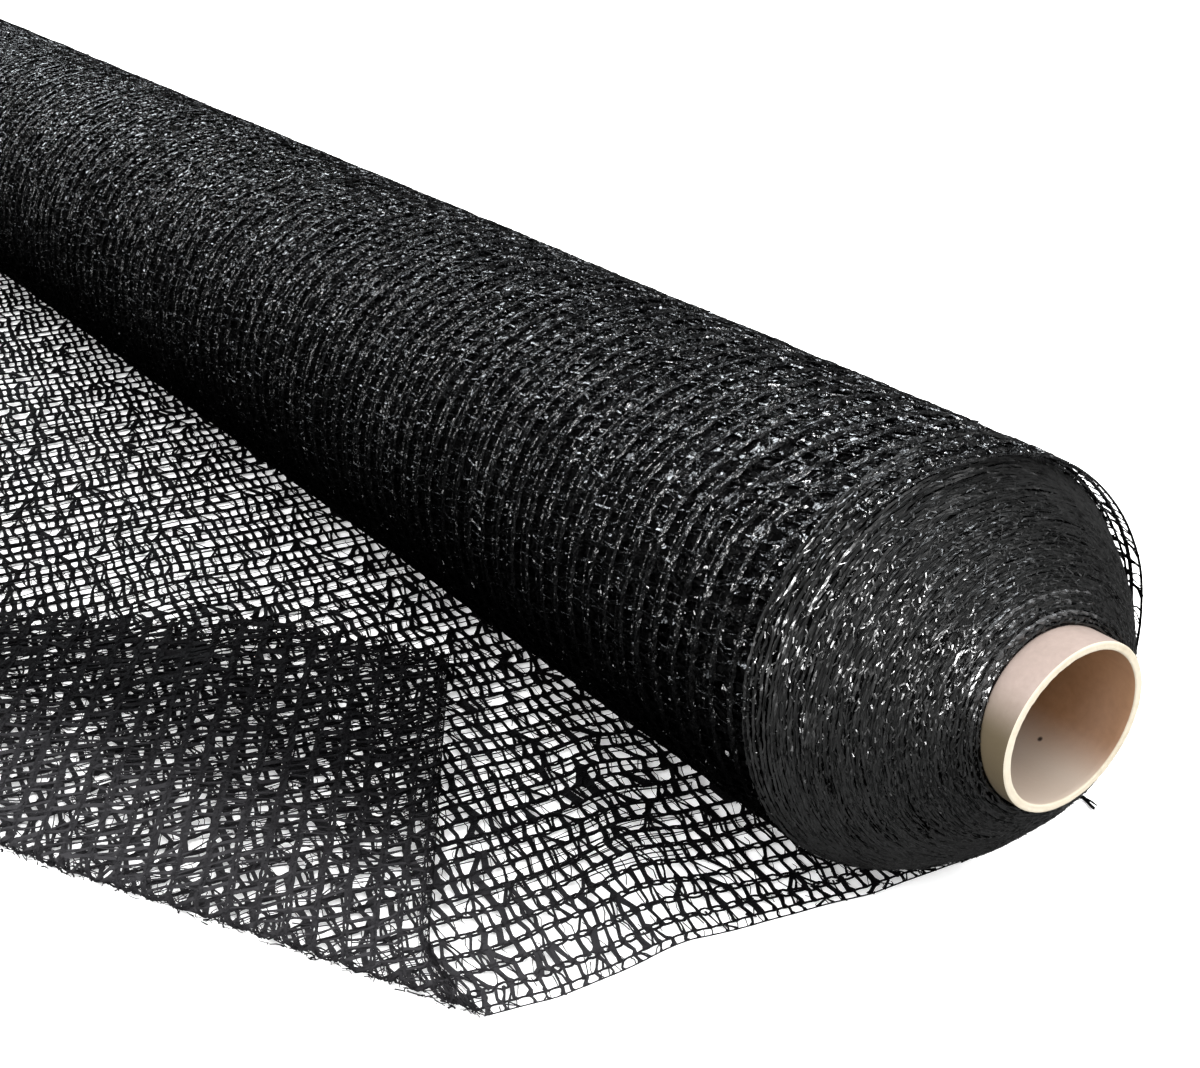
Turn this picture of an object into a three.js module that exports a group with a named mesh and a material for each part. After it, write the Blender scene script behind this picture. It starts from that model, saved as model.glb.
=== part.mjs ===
// A roll of knitted black shade net, wound on a thin cardboard tube, lying on
// its side with the last stretch of cloth pulled out in front of it and one
// corner of that stretch folded back over itself.
//
// Units are millimetres, +Z is up. The tube runs along X, the near end that is
// seen is at +X, and the loose cloth lies towards -Y. The origin is on the
// surface it lies on, half way along the tube and straight under the roll.

import * as THREE from 'three';

// ---------------------------------------------------------------- sizes ---

const CORE_LENGTH = 1300;        // cardboard tube, end to end
const CORE_OUTER_R = 28.5;
const CORE_INNER_R = 25.8;
const CORE_Y = -1.6;             // the tube sits a little high in the winding
const CORE_Z = 78.3;
const CORE_TILT_Y = 0.068;       // the near end is cut slightly out of square
const CORE_TILT_Z = -0.131;
const CORE_SIDES = 64;

const ROLL_R = 75;               // outermost turn where it comes off the floor
const TURN = 1.7;                // what one turn of net adds to the radius
const ROLL_Z = 74.55;            // axis of the outer turns
const GAP = 0.3;                 // clearance between separate pieces
const FLAT_HALF = 9;             // half width of the flat the roll lies on
const STEP_Y = 10.3;             // where the last turn leaves the winding
const ROLL_STEPS = 60;           // facets round the winding

const NET_T = 1.5;               // thickness of the net, knots included
const NET_WIDTH = 1195;          // selvedge to selvedge
const NEAR_X = 593;              // near selvedge where it comes from under the roll
const LOOSE_START_Y = 10;        // where the loose stretch meets the last turn

const FOLD_X = 586;              // corner of the fold, on the near selvedge
const FOLD_Y = -164.5;
const FOLD_DEG = 28;             // fold line, measured from -X towards -Y
const FOLD_R = 2.6;              // radius of the fold at the middle of the net
const FLAP_DEG = 150;            // direction of the selvedge on the flap
const FLAP_BUNCH = 14.5;           // how far the selvedge is drawn in on the flap
const FLAP_BUNCH_W = 25;         // over what width the net is gathered there

// Wound ends: radius against the distance back from the end of the tube.
const DOME = [
  { radius: 28.8, back: 10.5 },
  { radius: 33.0, back: 12.0 },
  { radius: 39.0, back: 16.0 },
  { radius: 46.0, back: 22.5 },
  { radius: 53.0, back: 30.0 },
  { radius: 60.0, back: 38.5 },
  { radius: 66.0, back: 48.0 },
  { radius: 70.5, back: 57.0 },
];
const RIM_BACK = 64;             // shoulder under the last turn, near end
const FAR_RIM_BACK = 52;         // shoulder at the far end

// The last turn stands out past the shoulder as a lip, all the way up the
// back and over the top. Degrees run from the floor up the back.
const LIP = [
  { deg: 0, back: 57.0 },
  { deg: 35, back: 52.5 },
  { deg: 70, back: 48.5 },
  { deg: 110, back: 47.0 },
  { deg: 180, back: 48.0 },
  { deg: 205, back: 53.0 },
  { deg: 230, back: 61.0 },
  { deg: 360, back: 63.0 },
];

// Slight swell of the winding along its length.
const SWELL = [
  { x: 470, grow: 0.0 },
  { x: 290, grow: 0.3 },
  { x: 90, grow: -0.2 },
  { x: -130, grow: 0.2 },
  { x: -350, grow: -0.1 },
  { x: -500, grow: 0.1 },
];

// Near selvedge of the loose stretch, from the roll out to the fold.
const SELVEDGE = [
  { y: 10, shift: 0.0 },
  { y: -27, shift: 0.0 },
  { y: -66, shift: -5.5 },
  { y: -92, shift: -7.0 },
  { y: -121, shift: -5.0 },
  { y: -144, shift: -4.0 },
  { y: -165, shift: -7.0 },
];

// Cut end of the net, before the corner is folded.
const CUT_END = [
  { w: 0, y: -405 },
  { w: 55, y: -422 },
  { w: 100, y: -435 },
  { w: 126, y: -430 },
  { w: 192, y: -443 },
  { w: 300, y: -439 },
  { w: 520, y: -437 },
  { w: 700, y: -441 },
  { w: 900, y: -434 },
  { w: 1060, y: -440 },
  { w: 1195, y: -436 },
];

// Low ripples in the layer on the floor: crest through (x, y), running at
// deg from +X, long half-length, wide half-width, high at the crest.
const RIPPLES = [
  { x: 520, y: -74, deg: 158, long: 90, wide: 15, high: 3.2 },
  { x: 470, y: -118, deg: 150, long: 80, wide: 17, high: 2.2 },
  { x: 556, y: -112, deg: 122, long: 44, wide: 14, high: 1.8 },
  { x: 330, y: -150, deg: 165, long: 150, wide: 24, high: 2.4 },
  { x: 60, y: -230, deg: 174, long: 190, wide: 30, high: 3.0 },
  { x: -160, y: -130, deg: 10, long: 170, wide: 26, high: 2.4 },
  { x: -330, y: -300, deg: 160, long: 150, wide: 30, high: 3.2 },
  { x: -470, y: -190, deg: 20, long: 90, wide: 26, high: 2.2 },
];

// Soft crests of the flap, over and above the layer under it.
const FLAP_CRESTS = [
  { x: 500, y: -176, deg: 205, long: 60, wide: 13, high: 2.6 },
  { x: 430, y: -140, deg: 152, long: 95, wide: 16, high: 2.2 },
  { x: 400, y: -205, deg: 204, long: 80, wide: 16, high: 3.0 },
  { x: 330, y: -130, deg: 118, long: 50, wide: 18, high: 2.6 },
  { x: 280, y: -260, deg: 190, long: 100, wide: 22, high: 3.2 },
  { x: 180, y: -310, deg: 200, long: 70, wide: 20, high: 2.0 },
];

// -------------------------------------------------------------- helpers ---

const rad = (deg) => (deg * Math.PI) / 180;

// Linear reading of a table: value of column `out` at `key` = t.
function read(table, key, out, t) {
  const up = table[table.length - 1][key] > table[0][key];
  const rows = up ? table : [...table].reverse();
  if (t <= rows[0][key]) return rows[0][out];
  for (let i = 1; i < rows.length; i++) {
    if (t <= rows[i][key]) {
      const f = (t - rows[i - 1][key]) / (rows[i][key] - rows[i - 1][key]);
      return rows[i - 1][out] + f * (rows[i][out] - rows[i - 1][out]);
    }
  }
  return rows[rows.length - 1][out];
}

// Height at (x, y) over a table of soft crests.
function crests(table, x, y) {
  let h = 0;
  for (const c of table) {
    const ux = Math.cos(rad(c.deg));
    const uy = Math.sin(rad(c.deg));
    const along = ((x - c.x) * ux + (y - c.y) * uy) / c.long;
    const across = (-(x - c.x) * uy + (y - c.y) * ux) / c.wide;
    h += c.high * Math.exp(-(along * along + across * across));
  }
  return h;
}

const smooth = (t) => {
  const s = Math.min(1, Math.max(0, t));
  return s * s * (3 - 2 * s);
};

// Indexed geometry from a vertex list and a list of triangles.
function geometryOf(points, faces) {
  const g = new THREE.BufferGeometry();
  g.setAttribute('position', new THREE.Float32BufferAttribute(points.flat(), 3));
  g.setIndex(faces.flat());
  g.computeVertexNormals();
  return g;
}

// Closed body from rings of equal count; the last ring joins the first.
function closedLoft(rings) {
  const n = rings[0].length;
  const faces = [];
  for (let i = 0; i < rings.length; i++) {
    const a = i * n;
    const b = ((i + 1) % rings.length) * n;
    for (let k = 0; k < n; k++) {
      const l = (k + 1) % n;
      faces.push([a + k, b + k, b + l], [a + k, b + l, a + l]);
    }
  }
  return geometryOf(rings.flat(), faces);
}

// ------------------------------------------------------- cardboard tube ---

function coreTube() {
  const ring = (r, end) => {
    const pts = [];
    for (let k = 0; k < CORE_SIDES; k++) {
      const a = (2 * Math.PI * k) / CORE_SIDES;
      const y = r * Math.cos(a);
      const z = r * Math.sin(a);
      const tilt = end > 0 ? -CORE_TILT_Y * y - CORE_TILT_Z * z : 0;
      pts.push([(end * CORE_LENGTH) / 2 + tilt, CORE_Y + y, CORE_Z + z]);
    }
    return pts;
  };
  return closedLoft([
    ring(CORE_OUTER_R, 1),
    ring(CORE_OUTER_R, -1),
    ring(CORE_INNER_R, -1),
    ring(CORE_INNER_R, 1),
  ]);
}

// --------------------------------------------------------- wound cloth ---

// One section of the winding: a spiral of one turn, with the flat it lies on
// and the small step where the last turn leaves it. Points relative to the
// axis, as angle up the back from the floor and radius.
function rollSection() {
  const pts = [];
  const first = Math.asin(STEP_Y / ROLL_R);
  const frontR = ROLL_R - TURN;
  const last = 2 * Math.PI - Math.asin(FLAT_HALF / frontR);
  for (let k = 0; k <= ROLL_STEPS; k++) {
    const a = first + ((last - first) * k) / ROLL_STEPS;
    pts.push({ a, r: ROLL_R - (TURN * a) / (2 * Math.PI), round: true });
  }
  const flatZ = frontR * Math.cos(Math.asin(FLAT_HALF / frontR));
  for (const y of [-FLAT_HALF / 3, FLAT_HALF / 3, STEP_Y]) {
    pts.push({ a: Math.atan2(y, flatZ) + (y < 0 ? 2 * Math.PI : 0), r: Math.hypot(y, flatZ), round: false });
  }
  return pts;
}

function clothRoll() {
  const section = rollSection();
  const half = CORE_LENGTH / 2;
  const holeR = CORE_OUTER_R + GAP;

  // A ring at radius `radius`, scaled from the section, its centre sliding
  // from the tube's axis to the axis of the outer turns.
  const ring = (x, radius, inset = 0, grow = 0) => {
    const f = (radius - holeR) / (ROLL_R - TURN - holeR);
    const g = Math.min(1, Math.max(0, f));
    const cy = CORE_Y * (1 - g);
    const cz = CORE_Z * (1 - g) + ROLL_Z * g;
    return section.map((p) => {
      const outer = p.r - inset + (p.round ? (grow * (1 - Math.cos(p.a))) / 2 : 0);
      const r = g >= 1 ? outer : radius + (outer - (ROLL_R - TURN)) * g * g;
      const px = typeof x === 'function' ? x(p.a) : x;
      return [px, cy + r * Math.sin(p.a), cz - r * Math.cos(p.a)];
    });
  };
  const full = ROLL_R;
  const lip = (a) => half - read(LIP, 'deg', 'back', (a * 180) / Math.PI % 360);

  const rings = [];
  for (const row of DOME) rings.push(ring(half - row.back, row.radius));
  rings.push(ring(half - RIM_BACK, full, NET_T));
  rings.push(ring(lip, full, NET_T));
  rings.push(ring(lip, full));
  for (const row of SWELL) rings.push(ring(row.x, full, 0, row.grow));
  rings.push(ring(-half + FAR_RIM_BACK, full));
  for (const row of [...DOME].reverse()) {
    rings.push(ring(-half + row.back * 0.86, row.radius));
  }
  return closedLoft(rings);
}

// --------------------------------------------------------- loose cloth ---

const FOLD_ALONG = [-Math.cos(rad(FOLD_DEG)), -Math.sin(rad(FOLD_DEG))];
const FOLD_IN = [-Math.sin(rad(FOLD_DEG)), Math.cos(rad(FOLD_DEG))];
const FLAP_DIR = [Math.cos(rad(FLAP_DEG)), Math.sin(rad(FLAP_DEG))];
const FLAP_IN = [-FLAP_DIR[1], FLAP_DIR[0]];
const dot = (a, b) => a[0] * b[0] + a[1] * b[1];

const foldY = (x) => FOLD_Y - Math.tan(rad(FOLD_DEG)) * (FOLD_X - x);
const cutY = (w) => read(CUT_END, 'w', 'y', w);
const sheetX = (w, y) =>
  NEAR_X - w + read(SELVEDGE, 'y', 'shift', y) * Math.exp(-w / 150);

// Where the line at width w from the near selvedge meets the fold.
const foldStart = (w) => {
  const x = sheetX(w, FOLD_Y);
  return [x, foldY(x)];
};

// Middle of the net, for width w and length: on the floor, y runs down to the
// fold; past it, `past` is the length of net beyond the fold.
function onFloor(w, y) {
  const x = sheetX(w, y);
  const away = smooth((-y - 28) / 22);
  return [x, y, NET_T / 2 + away * crests(RIPPLES, x, y)];
}

function onFlap(w, past) {
  const [bx, by] = foldStart(w);
  const along = past * dot(FLAP_DIR, FOLD_ALONG);
  const across = past * dot(FLAP_DIR, FOLD_IN);
  const half = Math.PI * FOLD_R;
  const turned = Math.min(across, half) / FOLD_R;
  const q = across < half ? -FOLD_R * Math.sin(turned) : across - half;
  const drawn = FLAP_BUNCH * Math.exp(-w / FLAP_BUNCH_W) * smooth(past / 34);
  const x = bx + FOLD_ALONG[0] * along + FOLD_IN[0] * q + FLAP_IN[0] * drawn;
  const y = by + FOLD_ALONG[1] * along + FOLD_IN[1] * q + FLAP_IN[1] * drawn;
  const settle = smooth((across - half * 0.5) / 30);
  const away = smooth((-y - 28) / 22);
  const under = away * crests(RIPPLES, x, y);
  const z = NET_T / 2 + under + FOLD_R * (1 - Math.cos(turned))
    + settle * crests(FLAP_CRESTS, x, y);
  return [x, y, z];
}

// Thin closed body round a surface given as points, unit normals and faces.
function thicken(points, normals, faces, t) {
  const n = points.length;
  const put = (s) => points.map((p, i) => p.map((c, k) => c + s * normals[i][k]));
  const all = [...put(t / 2), ...put(-t / 2)];
  const out = [];
  const edges = new Map();
  for (const [a, b, c] of faces) {
    out.push([a, b, c], [n + a, n + c, n + b]);
    for (const [u, v] of [[a, b], [b, c], [c, a]]) {
      if (edges.has(v + '_' + u)) edges.delete(v + '_' + u);
      else edges.set(u + '_' + v, [u, v]);
    }
  }
  for (const [u, v] of edges.values()) {
    out.push([u, n + u, n + v], [u, n + v, v]);
  }
  return geometryOf(all, out);
}

function looseEnd() {
  // Width at which the fold line runs out through the cut end.
  let wEnd = 0;
  while (foldStart(wEnd)[1] > cutY(wEnd)) wEnd += 0.25;

  const widths = [];
  const nearSteps = 22;
  for (let i = 0; i < nearSteps; i++) {
    widths.push((wEnd - 44) * Math.pow(i / nearSteps, 1.25));
  }
  for (const back of [44, 27, 18, 12, 6]) widths.push(wEnd - back);
  const foldColumns = widths.length;
  const farSteps = 13;
  for (let i = 0; i <= farSteps; i++) {
    widths.push(wEnd + ((NET_WIDTH - wEnd) * i) / farSteps);
  }

  const FLOOR_ROWS = 13;
  const BEND_ROWS = 6;
  const FLAP_ROWS = 10;
  const points = [];
  const normals = [];
  const add = (f, w, v) => {
    const e = 0.05;
    const d = (p, q) => new THREE.Vector3(p[0] - q[0], p[1] - q[1], p[2] - q[2]);
    const dw = d(f(w + e, v), f(w - e, v));
    const dv = d(f(w, v + e), f(w, v - e));
    const m = f === onFloor ? dv.cross(dw) : dw.cross(dv);
    m.normalize();
    points.push(f(w, v));
    normals.push([m.x, m.y, m.z]);
    return points.length - 1;
  };

  const grid = widths.map((w, i) => {
    const folded = i < foldColumns;
    const edge = folded ? foldStart(w)[1] : cutY(w);
    const column = [];
    for (let j = 0; j <= FLOOR_ROWS; j++) {
      const f = j / FLOOR_ROWS;
      column.push(add(onFloor, w, LOOSE_START_Y + (edge - LOOSE_START_Y) * f));
    }
    const past = folded ? edge - cutY(w) : 0;
    const total = BEND_ROWS + FLAP_ROWS;
    let bend = 0;
    for (let j = 1; j <= total; j++) {
      if (!folded) {
        column.push(column[FLOOR_ROWS]);
        continue;
      }
      let l;
      if (j <= BEND_ROWS) {
        const full = (Math.PI * FOLD_R * j) / BEND_ROWS / dot(FLAP_DIR, FOLD_IN);
        l = Math.min(full, (past * j) / total);
        bend = l;
      } else {
        l = bend + ((past - bend) * (j - BEND_ROWS)) / FLAP_ROWS;
      }
      column.push(add(onFlap, w, l));
    }
    return column;
  });

  const faces = [];
  const face = (a, b, c) => {
    if (a !== b && b !== c && c !== a) faces.push([a, b, c]);
  };
  for (let i = 0; i + 1 < grid.length; i++) {
    for (let j = 0; j + 1 < grid[0].length; j++) {
      const [a, b, c, d] = [grid[i][j], grid[i + 1][j], grid[i + 1][j + 1], grid[i][j + 1]];
      face(a, b, c);
      face(a, c, d);
    }
  }
  return thicken(points, normals, faces, NET_T);
}

// ------------------------------------------------------------- assembly ---

const cardboard = new THREE.MeshStandardMaterial({
  name: 'cardboard', color: 0xb39a80, roughness: 0.85, metalness: 0,
});
const net = new THREE.MeshStandardMaterial({
  name: 'net', color: 0x141416, roughness: 0.55, metalness: 0,
});

function piece(name, geometry, material) {
  const mesh = new THREE.Mesh(geometry, material);
  mesh.name = name;
  return mesh;
}

const roll = new THREE.Group();
roll.add(piece('core_tube', coreTube(), cardboard));
roll.add(piece('cloth_roll', clothRoll(), net));
roll.add(piece('loose_end', looseEnd(), net));

export default roll;
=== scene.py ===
"""A roll of black knitted shade net on a cardboard tube, its loose end drawn
out in front with one corner folded back.

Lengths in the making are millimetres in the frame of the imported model, and
become metres when a mesh is written.
"""
import math

import bpy
import numpy as np
from mathutils import Matrix, Vector


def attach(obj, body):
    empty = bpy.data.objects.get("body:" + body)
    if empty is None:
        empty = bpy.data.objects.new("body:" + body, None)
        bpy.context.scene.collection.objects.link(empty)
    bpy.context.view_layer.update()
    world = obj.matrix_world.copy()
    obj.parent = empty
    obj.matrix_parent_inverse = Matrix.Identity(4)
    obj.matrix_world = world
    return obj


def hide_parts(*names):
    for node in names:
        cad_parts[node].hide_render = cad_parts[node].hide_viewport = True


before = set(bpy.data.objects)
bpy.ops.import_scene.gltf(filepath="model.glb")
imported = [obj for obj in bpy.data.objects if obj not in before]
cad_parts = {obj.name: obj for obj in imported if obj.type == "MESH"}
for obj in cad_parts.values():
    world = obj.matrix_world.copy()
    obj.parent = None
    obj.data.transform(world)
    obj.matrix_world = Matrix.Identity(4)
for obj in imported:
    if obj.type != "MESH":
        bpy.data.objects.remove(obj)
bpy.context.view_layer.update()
scene = bpy.context.scene

# ------------------------------------------------------------------ sizes

CORE_LENGTH, CORE_R, CORE_IN = 1300.0, 28.5, 25.8
CORE_Y, CORE_Z = -1.6, 78.3
CORE_TILT = (0.068, -0.131)

ROLL_R, TURN, ROLL_Z = 75.0, 1.7, 74.55
NET_T, NET_WIDTH, NEAR_X = 1.5, 1195.0, 593.0
START = 10.0                     # the loose stretch begins at y = +10

FOLD_X, FOLD_Y, FOLD_DEG, FOLD_R = 586.0, -164.5, 28.0, 2.6
FLAP_DEG, BUNCH, BUNCH_W = 150.0, 14.5, 13.0

# Wound ends: radius, distance back from the end of the tube.
DOME = np.array([(28.8, 10.5), (33.0, 12.0), (39.0, 16.0), (46.0, 22.5), (53.0, 30.0),
                 (60.0, 38.5), (66.0, 48.0), (70.5, 57.0), (73.3, 66.0)])
# Lip of the last turn: degrees up the back from the floor, distance back.
LIP = np.array([(0, 57.0), (35, 52.5), (70, 48.5), (110, 47.0), (180, 48.0),
                (205, 53.0), (230, 61.0), (360, 63.0)], float)
SELVEDGE = np.array([(10, 0.0), (-27, 0.0), (-66, -5.5), (-92, -7.0), (-121, -5.0),
                     (-144, -4.0), (-165, -7.0)], float)[::-1]
CUT_END = np.array([(0, -405), (55, -422), (100, -435), (126, -430), (192, -443), (300, -439),
                    (520, -437), (700, -441), (900, -434), (1060, -440), (1195, -436)], float)
# Crests: x, y, direction in degrees, half-length, half-width, height.
RIPPLES = [(520, -74, 158, 90, 15, 3.2), (470, -118, 150, 80, 17, 2.2), (556, -112, 122, 44, 14, 1.8),
           (330, -150, 165, 150, 24, 2.4), (60, -230, 174, 190, 30, 3.0), (-160, -130, 10, 170, 26, 2.4),
           (-330, -300, 160, 150, 30, 3.2), (-470, -190, 20, 90, 26, 2.2)]
FLAP_CRESTS = [(500, -176, 205, 60, 13, 2.6), (430, -140, 152, 95, 16, 2.2), (400, -205, 204, 80, 16, 3.0),
               (330, -130, 118, 50, 18, 2.6), (280, -260, 190, 100, 22, 3.2), (180, -310, 200, 70, 20, 2.0)]

WALE = 10.4                      # spacing of the chains across the net
COURSE = 4.7                     # spacing of the tapes along it


# ------------------------------------------------------------------ noise

def hash01(i, j, seed):
    i = np.asarray(i).astype(np.int64)
    j = np.asarray(j).astype(np.int64)
    h = (i * 374761393 + j * 668265263 + int(seed) * 974634777 + 12345) & 0xFFFFFFFF
    h = ((h ^ (h >> 13)) * 1274126177) & 0xFFFFFFFF
    h = ((h ^ (h >> 15)) * 2246822519) & 0xFFFFFFFF
    h = h ^ (h >> 16)
    return (h & 0xFFFFFF) / float(0x1000000)


def vnoise(x, y, seed):
    """Smooth noise from -1 to 1."""
    x, y = np.broadcast_arrays(np.asarray(x, float), np.asarray(y, float))
    xi, yi = np.floor(x), np.floor(y)
    fx, fy = x - xi, y - yi
    sx, sy = fx * fx * (3 - 2 * fx), fy * fy * (3 - 2 * fy)
    a, b = hash01(xi, yi, seed), hash01(xi + 1, yi, seed)
    c, d = hash01(xi, yi + 1, seed), hash01(xi + 1, yi + 1, seed)
    return 2 * ((a * (1 - sx) + b * sx) * (1 - sy) + (c * (1 - sx) + d * sx) * sy) - 1


def smooth(t):
    s = np.clip(t, 0, 1)
    return s * s * (3 - 2 * s)


# --------------------------------------------------- where the cloth lies

def crests(table, x, y):
    h = np.zeros(np.broadcast(x, y).shape)
    for cx, cy, deg, long, wide, high in table:
        ux, uy = math.cos(math.radians(deg)), math.sin(math.radians(deg))
        along = ((x - cx) * ux + (y - cy) * uy) / long
        across = (-(x - cx) * uy + (y - cy) * ux) / wide
        h = h + high * np.exp(-(along ** 2 + across ** 2))
    return h


ALONG = (-math.cos(math.radians(FOLD_DEG)), -math.sin(math.radians(FOLD_DEG)))
FOLD_IN = (-math.sin(math.radians(FOLD_DEG)), math.cos(math.radians(FOLD_DEG)))
FLAP_DIR = (math.cos(math.radians(FLAP_DEG)), math.sin(math.radians(FLAP_DEG)))
FLAP_IN = (-FLAP_DIR[1], FLAP_DIR[0])
E_ALONG = FLAP_DIR[0] * ALONG[0] + FLAP_DIR[1] * ALONG[1]
E_IN = FLAP_DIR[0] * FOLD_IN[0] + FLAP_DIR[1] * FOLD_IN[1]


def cut_y(w):
    return np.interp(w, CUT_END[:, 0], CUT_END[:, 1])


def sheet_x(w, y):
    return NEAR_X - w + np.interp(y, SELVEDGE[:, 0], SELVEDGE[:, 1]) * np.exp(-w / 150.0)


def fold_start(w):
    x = sheet_x(w, np.full(np.shape(w), FOLD_Y))
    return x, FOLD_Y - math.tan(math.radians(FOLD_DEG)) * (FOLD_X - x)


def loose_mid(w, l):
    """Middle of the net for width w from the near selvedge and length l from under the roll."""
    w = np.asarray(w, float)
    y = -np.asarray(l, float)
    bx, by = fold_start(w)
    past = by - y
    # on the floor
    x0 = sheet_x(w, y)
    away0 = smooth((-y - 28) / 22)
    z0 = NET_T / 2 + away0 * crests(RIPPLES, x0, y)
    # past the fold
    p = np.maximum(past, 0)
    along, across = p * E_ALONG, p * E_IN
    half = math.pi * FOLD_R
    turned = np.minimum(across, half) / FOLD_R
    q = np.where(across < half, -FOLD_R * np.sin(turned), across - half)
    drawn = BUNCH * np.exp(-w / BUNCH_W) * smooth(p / 34)
    x1 = bx + ALONG[0] * along + FOLD_IN[0] * q + FLAP_IN[0] * drawn
    y1 = by + ALONG[1] * along + FOLD_IN[1] * q + FLAP_IN[1] * drawn
    settle = smooth((across - half * 0.5) / 30)
    away1 = smooth((-y1 - 28) / 22)
    z1 = (NET_T / 2 + away1 * crests(RIPPLES, x1, y1) + FOLD_R * (1 - np.cos(turned))
          + settle * crests(FLAP_CRESTS, x1, y1))
    on = past <= 0
    return np.stack([np.where(on, x0, x1), np.where(on, y, y1), np.where(on, z0, z1)], -1)


def lip_x(phi):
    return CORE_LENGTH / 2 - np.interp(np.degrees(phi), LIP[:, 0], LIP[:, 1])


def roll_mid(w, s):
    """Middle of the last turn for width w and length s back under the roll and up behind it."""
    phi = np.asarray(s, float) / ROLL_R
    near = lip_x(np.clip(phi, 0, 2 * math.pi))
    x = near - np.asarray(w, float) * (near + 602.0) / NET_WIDTH
    grow = 0.25 * vnoise(x / 160.0, phi * 0.7, 5) * (1 - np.cos(phi)) / 2
    r = ROLL_R - NET_T / 2 - TURN * phi / (2 * math.pi) + grow
    # down the front the net follows the shoulder of the winding
    front = smooth((np.degrees(phi) - 195) / 45)
    edge = CORE_LENGTH / 2 - x
    drop = np.interp(edge, DOME[:, 1], DOME[:, 0]) - 73.3
    r = r + front * np.minimum(drop, 0)
    return np.stack([x, r * np.sin(phi), ROLL_Z - r * np.cos(phi)], -1)


def place(mid, u, l, h, sign=1.0):
    """Points at height h over the surface mid(u, l)."""
    e = 0.4
    p = mid(u, l)
    du = mid(u + e, l) - mid(u - e, l)
    dl = (mid(u, l + e) - mid(u, l - e)) * sign
    n = np.cross(du, dl)
    n /= np.maximum(np.linalg.norm(n, axis=-1, keepdims=True), 1e-9)
    return p + n * h[..., None]


# ------------------------------------------------------------ mesh making

class Bag:
    """Collects vertices and faces, and writes one mesh."""

    def __init__(self):
        self.v, self.f, self.m, self.n = [], [], [], 0

    def add(self, verts, faces, mat=0):
        self.v.append(verts.reshape(-1, 3))
        for f in faces:
            self.f.append(f.reshape(-1, f.shape[-1]) + self.n)
            self.m.append(np.full(len(self.f[-1]), mat, np.int32))
        self.n += self.v[-1].shape[0]

    def triangles(self):
        return sum(len(f) * (f.shape[1] - 2) for f in self.f)

    def mesh(self, name, move=None, smooth_faces=False):
        v = np.concatenate(self.v)
        if move is not None:
            v = move(v)
        v = v / 1000.0
        counts = np.concatenate([np.full(len(f), f.shape[1], np.int32) for f in self.f])
        loops = np.concatenate([f.reshape(-1) for f in self.f]).astype(np.int32)
        starts = np.concatenate([[0], np.cumsum(counts)[:-1]]).astype(np.int32)
        me = bpy.data.meshes.new(name)
        me.vertices.add(len(v))
        me.vertices.foreach_set("co", v.astype(np.float32).ravel())
        me.loops.add(len(loops))
        me.loops.foreach_set("vertex_index", loops)
        me.polygons.add(len(counts))
        me.polygons.foreach_set("loop_start", starts)
        me.polygons.foreach_set("use_smooth", np.full(len(counts), smooth_faces))
        me.polygons.foreach_set("material_index", np.concatenate(self.m))
        me.update(calc_edges=True)
        me.validate()
        o = bpy.data.objects.new(name, me)
        scene.collection.objects.link(o)
        return o


def strands(bag, pts, wide, thick, twist=None, sides=4, caps=True, under=True, mat=0):
    """Many strands at once: pts (N, K, 3) in cloth space, wide, thick and twist (N, K).

    Four sides make a flat tape, three a rough cord. Without `under` the
    face that lies on the winding is left off."""
    n, k, _ = pts.shape
    t = np.empty_like(pts)
    t[:, 1:-1] = pts[:, 2:] - pts[:, :-2]
    t[:, 0] = pts[:, 1] - pts[:, 0]
    t[:, -1] = pts[:, -1] - pts[:, -2]
    t /= np.maximum(np.linalg.norm(t, axis=-1, keepdims=True), 1e-9)
    lat = np.cross(np.array([0.0, 0.0, 1.0]), t)
    lat /= np.maximum(np.linalg.norm(lat, axis=-1, keepdims=True), 1e-6)
    up = np.cross(t, lat)
    if sides == 4:
        a, b = np.array([-0.5, 0.5, 0.5, -0.5]), np.array([-0.5, -0.5, 0.5, 0.5])
    elif sides == 3:
        a, b = np.array([-0.5, 0.5, 0.0]), np.array([-0.4, -0.4, 0.6])
    else:
        ang = 2 * math.pi * np.arange(sides) / sides
        a, b = 0.5 * np.cos(ang), 0.5 * np.sin(ang)
    ca = wide[..., None] * a
    cb = thick[..., None] * b
    if twist is not None:
        c, s = np.cos(twist)[..., None], np.sin(twist)[..., None]
        ca, cb = ca * c - cb * s, ca * s + cb * c
    v = pts[:, :, None] + lat[:, :, None] * ca[..., None] + up[:, :, None] * cb[..., None]
    idx = np.arange(n * k * sides).reshape(n, k, sides)
    nxt = np.roll(idx, -1, axis=2)
    quads = np.stack([idx[:, :-1], nxt[:, :-1], nxt[:, 1:], idx[:, 1:]], -1)
    if not under:
        quads = quads[:, :, 1:]
    faces = [quads]
    if caps:
        faces += [idx[:, 0, ::-1], idx[:, -1]]
    bag.add(v, faces, mat)


# -------------------------------------------------------------- the net

PAIRS = 113
PITCH = (NET_WIDTH - 24.4) / PAIRS
# Distance of every chain from the near selvedge: the thin edge cord, one
# single cord, then the double chains, and the same again at the far side.
U = np.concatenate([[0.0, 4.1], 12.2 + PITCH * np.arange(PAIRS + 1), [NET_WIDTH - 4.1, NET_WIDTH]])
LAST = len(U) - 1


def is_edge(i):
    return i in (0, LAST)


def is_single(i):
    return i in (0, 1, LAST - 1, LAST)


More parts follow.
